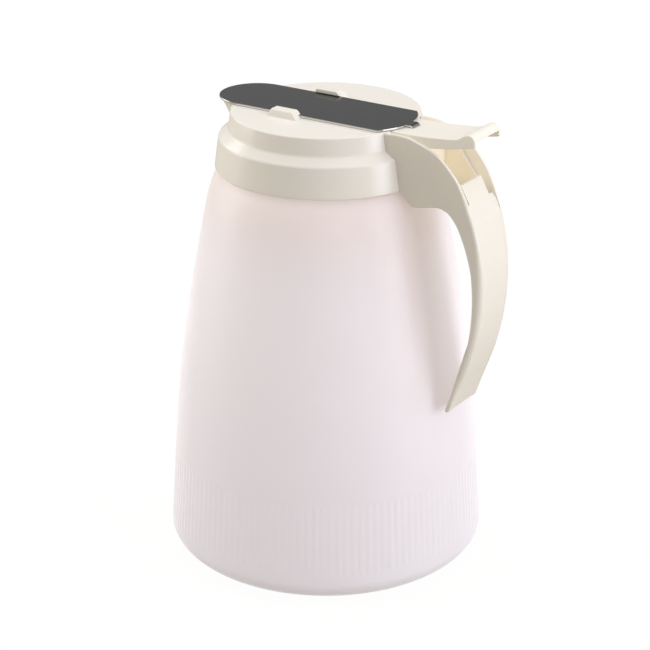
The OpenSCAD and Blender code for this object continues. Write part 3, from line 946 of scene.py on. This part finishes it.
def build_floor():
    """A white sweep on which only a trace of the shadow shows."""
    far = 6000
    ob = make("floor", [(-far, -far, 0), (far, -far, 0), (far, far, 0), (-far, far, 0)],
              [[0, 1, 2, 3]])
    ob.location.z = -0.0001
    mat = Surface("floor_paper")
    mat.set("Base Color", mat.mix(mat.ramp(mat.noise(3, detail=2)),
                                  (0.38, 0.355, 0.305), (0.40, 0.375, 0.325)))
    mat.set("Roughness", 0.8)
    mat.set("Specular IOR Level", 0.0)
    white = mat.new("ShaderNodeEmission")
    white.inputs["Strength"].default_value = WHITE
    seen = mat.new("ShaderNodeLightPath").outputs["Is Camera Ray"]
    blend = mat.mix_shader(mat.times(seen, 0.9), mat.shader.outputs[0], white.outputs[0])
    mat.feed(mat.tree.nodes["Material Output"].inputs["Surface"], blend)
    ob.data.materials.append(mat.material)


def place(name, data, location, direction):
    """An object, at a place in metres, that looks in the given direction."""
    ob = bpy.data.objects.new(name, data)
    scene.collection.objects.link(ob)
    ob.location = location
    ob.rotation_mode = "QUATERNION"
    ob.rotation_quaternion = direction.to_track_quat("-Z", "Y")
    return ob


def build_camera():
    data = bpy.data.cameras.new("camera")
    data.sensor_width = 36
    data.lens = 120.07384615
    data.shift_x = -0.0015384615
    data.clip_start, data.clip_end = 0.05, 50
    level = math.cos(CAM_PITCH)
    look = Vector((CAM_AWAY[0] * level, CAM_AWAY[1] * level, -math.sin(CAM_PITCH)))
    scene.camera = place("camera", data, (0.4455, -0.6860, 0.4403), look)


# ---------------------------------------------------------------- light
def softbox(name, at, aim_z, size, power, colour=(1, 1, 1)):
    """An area light aimed at the z axis. at is in metres to the camera's right, away from
    the camera, and up."""
    data = bpy.data.lights.new(name, "AREA")
    data.shape, data.size, data.size_y = "RECTANGLE", size[0], size[1]
    data.energy, data.color = power, colour
    right, away, up = at
    location = (right * CAM_RIGHT[0] + away * CAM_AWAY[0],
                right * CAM_RIGHT[1] + away * CAM_AWAY[1], up)
    place(name, data, location, Vector((0, 0, aim_z)) - Vector(location))


def build_world():
    """Studio surroundings: bright above and behind, darker on the camera's side."""
    behind_share, front_share, sides_share, above_share = 0.34, 0.0, 1.15, 1.07
    gloss_low, gloss_above, gloss_away = 0.2, 0.95, 0.5
    world = bpy.data.worlds.new("studio")
    scene.world = world
    world.use_nodes = True
    sky = Nodes(world.node_tree)
    way = sky.new("ShaderNodeTexCoord").outputs["Generated"]
    height = sky.split(way)["Z"]

    # what lights the surfaces
    behind = sky.ramp(sky.dot(way, (-0.259, 0.966, 0)), over=(-0.9, 0.9))
    sides = sky.math("POWER", sky.math("ABSOLUTE", sky.dot(way, CAM_RIGHT)), 4.0)
    above = sky.math("MAXIMUM", height, 0.0)
    strength = sky.math(
        "ADD", sky.math("ADD", sky.times(behind, behind_share), front_share),
        sky.math("ADD", sky.times(above, above_share), sky.times(sides, sides_share)))
    diffuse = sky.tree.nodes["Background"]
    sky.feed(diffuse.inputs["Strength"], strength)
    sky.feed(diffuse.inputs["Color"], sky.mix(sky.ramp(height, over=(-0.1, 0.8)),
                                              (1.0, 0.95, 0.83), (1.0, 1.015, 1.11)))
    # what the gloss reflects
    glossy = sky.new("ShaderNodeBackground")
    sky.feed(glossy.inputs["Strength"], sky.math(
        "MAXIMUM", sky.ramp(height, to=(gloss_low, gloss_above), over=(0.45, 0.85)),
        sky.ramp(sky.dot(way, CAM_AWAY), to=(gloss_low, gloss_away), over=(0.1, 0.7))))
    # what the camera sees
    seen = sky.new("ShaderNodeBackground")
    seen.inputs["Strength"].default_value = WHITE
    seen.inputs["Color"].default_value = (1, 1, 1, 1)
    ray = sky.new("ShaderNodeLightPath").outputs
    unseen = sky.mix_shader(ray["Is Glossy Ray"], diffuse.outputs[0], glossy.outputs[0])
    final = sky.mix_shader(ray["Is Camera Ray"], unseen, seen.outputs[0])
    sky.feed(sky.tree.nodes["World Output"].inputs["Surface"], final)


build_floor()
build_camera()
COOL, COOL_LOW = (0.95, 0.99, 1.19), (0.95, 0.99, 1.17)
softbox("right", at=(1.0, -0.55, 0.37), aim_z=0.1, size=(0.6, 0.8), power=4.9, colour=COOL)
softbox("right_low", at=(0.95, -0.35, 0.13), aim_z=0.12, size=(0.6, 0.24), power=1.25,
        colour=COOL_LOW)
softbox("left", at=(-1.16, 0.31, 0.4), aim_z=0.12, size=(0.5, 0.8), power=2.6)
softbox("back_left", at=(-0.95, 0.75, 0.75), aim_z=0.15, size=(0.35, 0.5), power=2.4)
build_world()

scene.view_settings.view_transform = "Standard"
scene.view_settings.look = "None"
scene.cycles.use_denoising = True
